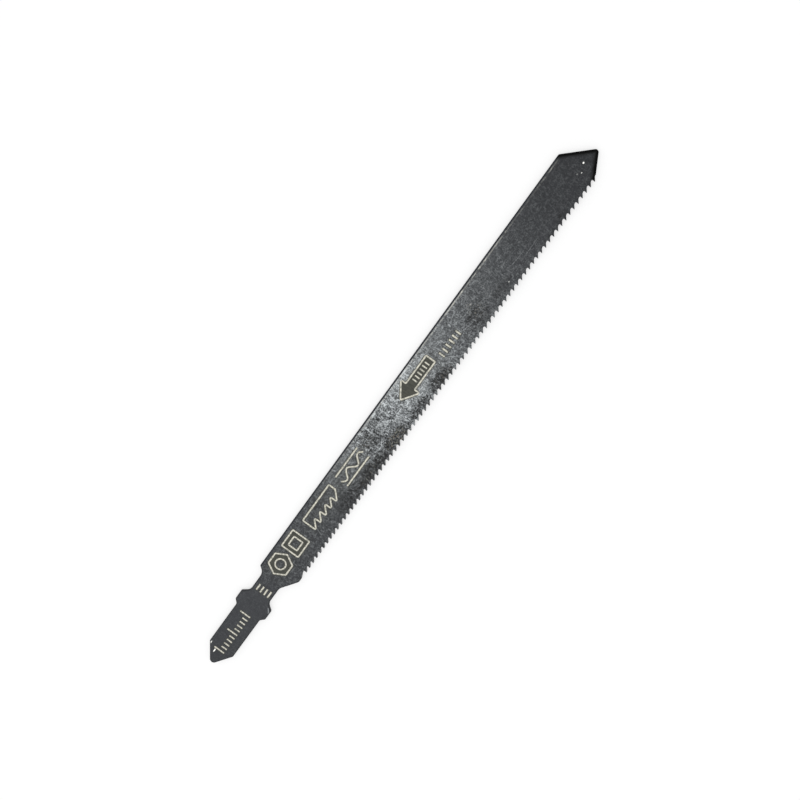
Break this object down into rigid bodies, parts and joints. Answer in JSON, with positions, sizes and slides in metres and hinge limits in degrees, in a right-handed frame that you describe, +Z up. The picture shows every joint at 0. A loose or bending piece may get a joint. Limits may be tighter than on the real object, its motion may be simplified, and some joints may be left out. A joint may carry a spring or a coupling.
{
  "type": "jigsaw blade",
  "caption": "Long flat jigsaw blade for metal, with a lugged bayonet shank, a fine wavy-set toothed edge, a straight back and a pointed tip.",
  "frame": {"origin": "under the middle of the blade's box, on the surface that it lies on", "axes": "+X from the shank's end to the tip, -Y towards the teeth, +Z up out of the sheet's face"},
  "size_m": [0.132, 0.0088, 0.0014],
  "materials": {
    "blackened_steel": "black oxide, smooth on the shank and rubbed grey along the body"
  },
  "bodies": {
    "root": {"jigsaw_blade": "blackened_steel"}
  },
  "joints": []
}
